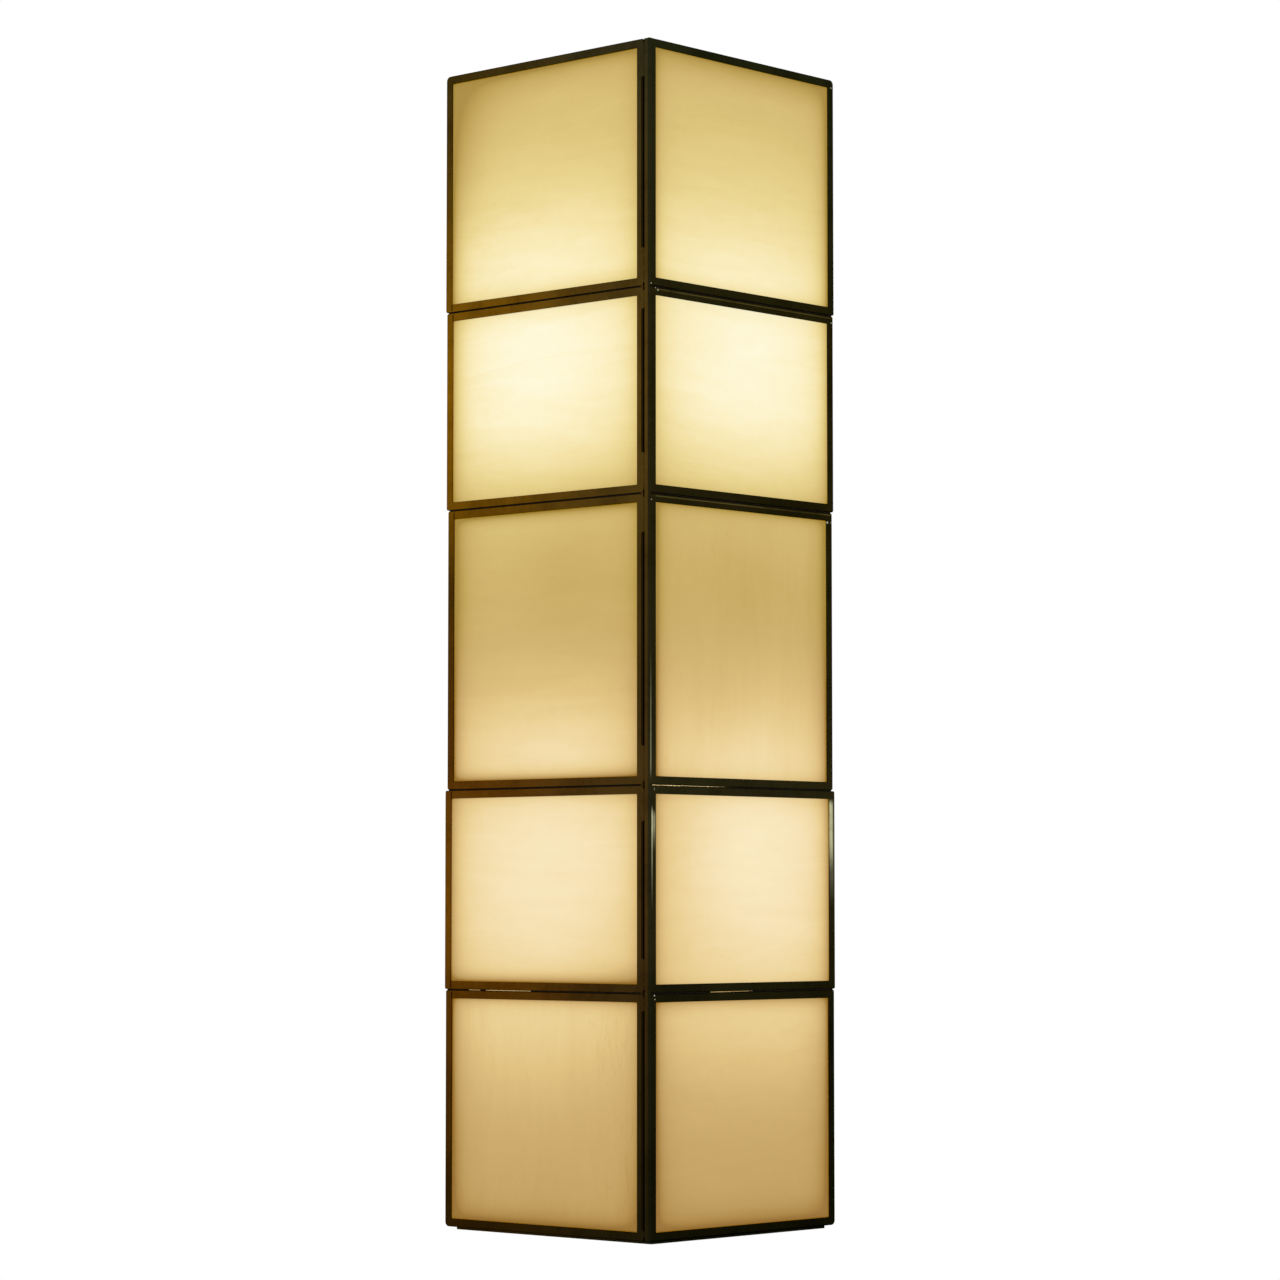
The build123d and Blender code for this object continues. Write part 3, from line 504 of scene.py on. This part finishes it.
def opal(side, tier):
    """One pane's glass, lit from behind."""
    made, pane = new_material(f"opal_{side}_{tier}")
    low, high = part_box(f"{side}_frame_{tier}")
    start, end = seam_start[side], seam_end[tier - 1]
    spot = pane.node("TexCoord", out=3)
    x, height = (pane.node("SeparateXYZ", {}, {0: spot}, out=way) for way in (0, 2))
    along = abs(x) * math.sqrt(2)

    glow = glow_between
    sideways = ((along - glow_middle) * (glow_narrowing / glow_reach)) ** 2
    for level, power in zip(bulb_levels, bulb_powers):
        upwards = ((height - level) / glow_reach) ** 2
        glow = math.e ** -(upwards + sideways) * power + glow
    glow = glow * pane_light[tier - 1]
    bar_darkness, clouds = pane_shade_and_unevenness[side, tier]
    from_edges = (along - bar - start, end - bar - along, high.z - bar - height, height - low.z - bar)
    # Painted shade of the frames along the pane's edges, soft and then right at the bar
    for edge, soft, dark in zip(from_edges, soft_darkness, bar_darkness):
        glow = glow * (1 - math.e ** (edge / -soft_shade) * soft)
        glow = glow * (1 - math.e ** (edge / -bar_shade) * dark)
    wide, tall = end - start, high.z - low.z
    for right, down, reach, drop, change in clouds:
        place = start + wide * (right if side == "right" else 1 - right)
        aside = (along - place) / (reach * wide)
        above = (height - (high.z - down * tall)) / (drop * tall)
        glow = glow * (math.e ** -(aside ** 2 + above ** 2) * change + 1)

    upright_grain = (side, tier) in (("right", 3), ("left", 5))
    stretch = (34, 34, 5) if upright_grain else (7, 7, 42)
    drawn = pane.node("VectorMath", {"operation": "MULTIPLY"}, {0: spot, 1: stretch})
    wisps = pane.node("TexNoise", {}, {"Vector": drawn, "Scale": 1.0, "Detail": 7.0,
                                       "Roughness": 0.62, "Distortion": 0.8})
    mottle = pane.node("TexNoise", {}, {"Vector": spot, "Scale": 60.0, "Detail": 3.0})
    glow = glow * (wisps * 0.15 + 0.925) * (mottle * 0.04 + 0.98)
    folds = pane.node("TexNoise", {}, {"Vector": drawn, "Scale": 0.9, "Detail": 3.0, "Distortion": 2.5})
    veined = pane.node("TexNoise", {}, {"Vector": spot, "Scale": 8.0, "Detail": 2.0}).fade(0.5, 0.62)
    if (side, tier) == ("left", 5):
        veined = along.fade(0.14, 0.06, 0.3, 2) + veined
    veins = abs(folds - 0.5).fade(0, 0.018, 1, 0) * veined
    seeds = pane.node("TexVoronoi", {}, {"Vector": spot, "Scale": 90.0})
    glow = glow * (1 - veins * 0.035) * seeds.fade(0.05, 0.09, 0.96, 1)

    upper, lower = (pane.node("ValToRGB", {"stops": stops}, {0: glow})
                    for stops in (upper_colours, lower_colours))
    shine = height.fade(0.08, -0.12).blend(upper, lower)
    tint = wisps.blend((0.2, 0.15, 0.07), (0.24, 0.19, 0.1))
    for reflected in (tint, studio_sheen):
        shine = pane.node("VectorMath", {"operation": "SUBTRACT"}, {0: shine, 1: reflected})
    pane.node("OutputMaterial", {}, {0: pane.node("BsdfPrincipled", {}, {
        "Base Color": tint,
        "Roughness": wisps.fade(0.3, 0.7, 0.4, 0.5),
        "Specular IOR Level": 0.15,
        "Emission Color": shine,
        "Emission Strength": 1.0,
        "Normal": pane.node("Bump", {}, {"Strength": 0.05, "Distance": 0.0005, "Height": wisps})})})
    return made


for side in ("left", "right"):
    for tier in range(1, 6):
        dress([f"{side}_glass_{tier}"], opal(side, tier))


# Glass clips and lock nut: plain brass, bent from strip or turned, and soldered inside the
# frames behind the panes and on the bottom plate.
clip_brass = cloudy_finish("clip_brass", 90.0, 5.0, ((0.55, 0.4, 0.18), (0.25, 0.16, 0.07)),
                           gloss=(0.3, 0.5), bump=(0.1, 0.0003), constants={"Metallic": 1.0})
dress(["glass_clips", "lock_nut"], clip_brass)


# Locking screw: a knurled brass head below the wall plate's lip, bronzed like the lantern
# and rubbed brighter by fingers.
dress(["lock_screw"], cloudy_finish(
    "screw_brass", 160.0, 5.0, ((0.1, 0.062, 0.024), (0.32, 0.2, 0.08)),
    gloss=(0.26, 0.42), bump=(0.1, 0.0003), patches=(0.35, 0.65), constants={"Metallic": 1.0}))


# Braze: runs of filler metal in the corner slot and between the tiers, melted in by hand, so
# each is lumpy and ends raggedly. A near-black run fills the seams as painted shade in their depth,
# but for a few narrow openings where light gets through.
brazed, shade_filling = 0, 1
slot_middle, slot_half = 0.0099, 0.0011
seam_half = 0.00085
seam_bead = {"left": 0.0042, "right": 0.0032}
run_inset, end_inset = 0.0002, 0.0012
# The corner strip's edge is rounded, so its box stops this far short of the sharp corner
strip_rounding = 0.00058
corner_edge = Vector((0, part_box("corner_strip")[0].y - strip_rounding, 0))
# Where a seam is open: its ends, and how open it is at each end
seam_openings = {
    ("left", 4): ((0.186, 0.189, 0.5, 0.5), (0.198, 0.279, 0.85, 1), (0.285, 0.313, 1, 1)),
    ("right", 3): ((0.0062, 0.06, 0.95, 0.85), (0.06, 0.118, 0.7, 0.65), (0.118, 0.2, 0.55, 0)),
    ("right", 4): ((0.112, 0.152, 0.9, 0.9), (0.152, 0.186, 0.7, 0.6), (0.186, 0.214, 0.5, 0)),
}
# A run's cross section: across and back from its crown, as shares of its half width
run_profile = ((-1, 0.35), (-0.55, 0.08), (0, 0), (0.55, 0.08), (1, 0.35))


def face_point(side, along, depth, height):
    """A point behind a face, by its distances from the corner edge and from the front."""
    lean = 1 if side == "right" else -1
    out_from_corner = Vector((lean * (along - depth), along + depth, 0)) / math.sqrt(2)
    return corner_edge + out_from_corner + Vector((0, 0, height))


def lay_run(mesh, place, first, last, step, half, depth, lump, back=0.004, finish=brazed):
    """One ragged run of filler from first to last, as a chain of lumpy cross sections."""
    count = max(3, round((last - first) / step))
    rings = []
    for index in range(count + 1):
        spot = first + (last - first) * index / count
        seed = Vector((spot * 420, first * 91, half * 5000))
        wobble, swell, sag = (noise.noise(seed + Vector((0, 7 * k, 0))) for k in (1, 2, 3))
        front = depth + lump * swell
        wide = half * (1 + 0.25 * wobble)
        crown = [(across * wide, deep * wide) for across, deep in run_profile]
        rings.append([mesh.verts.new(place(spot, 0.3 * lump * sag + across, front + deep))
                      for across, deep in [(-wide, back), *crown, (wide, back)]])
    skins = [mesh.faces.new((near[k - 1], near[k], beyond[k], beyond[k - 1]))
             for near, beyond in zip(rings, rings[1:]) for k in range(len(near))]
    for face in skins + [mesh.faces.new(rings[0][::-1]), mesh.faces.new(rings[-1])]:
        face.material_index = finish


def seam_stretches(start, end, openings):
    """Splits a seam into its stretches, each with its ends and how open it is at each end."""
    reached = start
    for opening in openings:
        if opening[0] > reached:
            yield reached, opening[0], 0, 0
        yield opening
        reached = opening[1]
    yield reached, end, 0, 0


def seam_point(side, level, stretch, spot, across, depth):
    """A point of the near-black seam filling, which lies lower on the rail below where it is open."""
    first, last, opening, closing = stretch
    kept = 1 - 0.85 * (opening + (closing - opening) * (spot - first) / (last - first))
    return face_point(side, spot, depth, level - seam_half + (across + seam_half) * kept)


def finish_piece(name, mesh, materials):
    """Turns a piece's mesh into an object that rides on the lantern."""
    bmesh.ops.recalc_face_normals(mesh, faces=mesh.faces)
    for face in mesh.faces:
        face.smooth = True
    data = bpy.data.meshes.new(name)
    mesh.to_mesh(data)
    mesh.free()
    made = bpy.data.objects.new(name, data)
    scene.collection.objects.link(made)
    for material in materials:
        data.materials.append(material)
    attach(made, "lantern")
    return made


filler = bmesh.new()
for tier, level in enumerate(seam_levels, 1):
    for side in ("left", "right"):
        start, end = seam_start[side], min(seam_end[tier - 1:tier + 1]) - end_inset
        openings = seam_openings.get((side, tier), ())
        for stretch in seam_stretches(start + run_inset, end, openings):
            lay_run(filler, lambda *point: seam_point(side, level, stretch, *point), *stretch[:2],
                    step=0.003, half=seam_half, depth=0.0019, lump=0.0003, finish=shade_filling)
        lay_run(filler, lambda spot, across, depth: face_point(side, spot, depth, level + across),
                start + run_inset / 2, start + seam_bead[side],
                step=0.0006, half=1.2 * seam_half, depth=0.0004, lump=0.0003)


def slot_point(spot, across, depth):
    return face_point("left", slot_middle + across, depth, spot)


for (low, high), above, below in zip(tiers, slot_beads_above, slot_beads_below):
    foot, head = low.z + slot_bead_inset, high.z - slot_bead_inset
    for first, last in ((foot, foot + below), (head - above, head)):
        lay_run(filler, slot_point, first, last,
                step=0.0011, half=1.25 * slot_half, depth=0.0003, lump=0.0006)
# A near-black run deep in the corner slot, as painted shade
lay_run(filler, slot_point, tiers[-1][0].z + 0.0005, tiers[0][1].z - 0.0005,
        step=0.004, half=slot_half, depth=0.0022, lump=0.0002, finish=shade_filling)

# The near-black colour of the seam and slot filling: painted shade
painted_shade_filling = cloudy_finish("painted_shade_filling", 400.0, 4.0, ((0.004, 0.0025, 0.001), (0.012, 0.007, 0.003)),
                           gloss=(0.6, 0.85), bump=(0.3, 0.0003), constants={"Specular IOR Level": 0.2})
braze = finish_piece("braze_runs", filler, (patina_with_painted_light("braze_patina_painted_light", 0.3), painted_shade_filling))
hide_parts("braze_beads")


# Solder: pips of tin solder on the right-hand frames at joints of their stiles and rails,
# coloured bright as painted glints.
pips = ((0.0154, 0.4167, 0.0013), (0.0109, 0.4192, 0.0008), (0.0032, 0.4238, 0.0009),
        (0.0036, 0.1625, 0.0009), (0.0088, -0.4298, 0.0012), (0.0096, -0.4345, 0.0009),
        (0.333, 0.158, 0.0017), (0.3396, 0.158, 0.001), (0.3425, 0.7125, 0.0014),
        (0.3415, 0.4118, 0.0011))


def pip_point(along, level, size, spot, across, depth):
    """A point of a pip, which bulges round its middle."""
    near = math.sqrt(max(0.0, 1 - (spot / size) ** 2))
    return face_point("right", along + across * (0.25 + near), depth - 0.0005 * near, level + spot)


solder = bmesh.new()
for along, level, size in pips:
    lay_run(solder, lambda *point: pip_point(along, level, size, *point), -size, size,
            step=size / 4, half=0.7 * size, depth=0.0002, lump=0.0002, back=0.0012)
# Bright solder colour, standing as painted glints at the joints
solder_painted_glint = cloudy_finish("solder_painted_glint", 300.0, 4.0, ((0.44, 0.42, 0.3), (0.25, 0.23, 0.14)),
                              gloss=(0.18, 0.36), bump=(0.2, 0.0003), patches=(0.35, 0.65),
                              constants={"Metallic": 1.0})
finish_piece("solder_pips", solder, (solder_painted_glint,))

low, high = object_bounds()
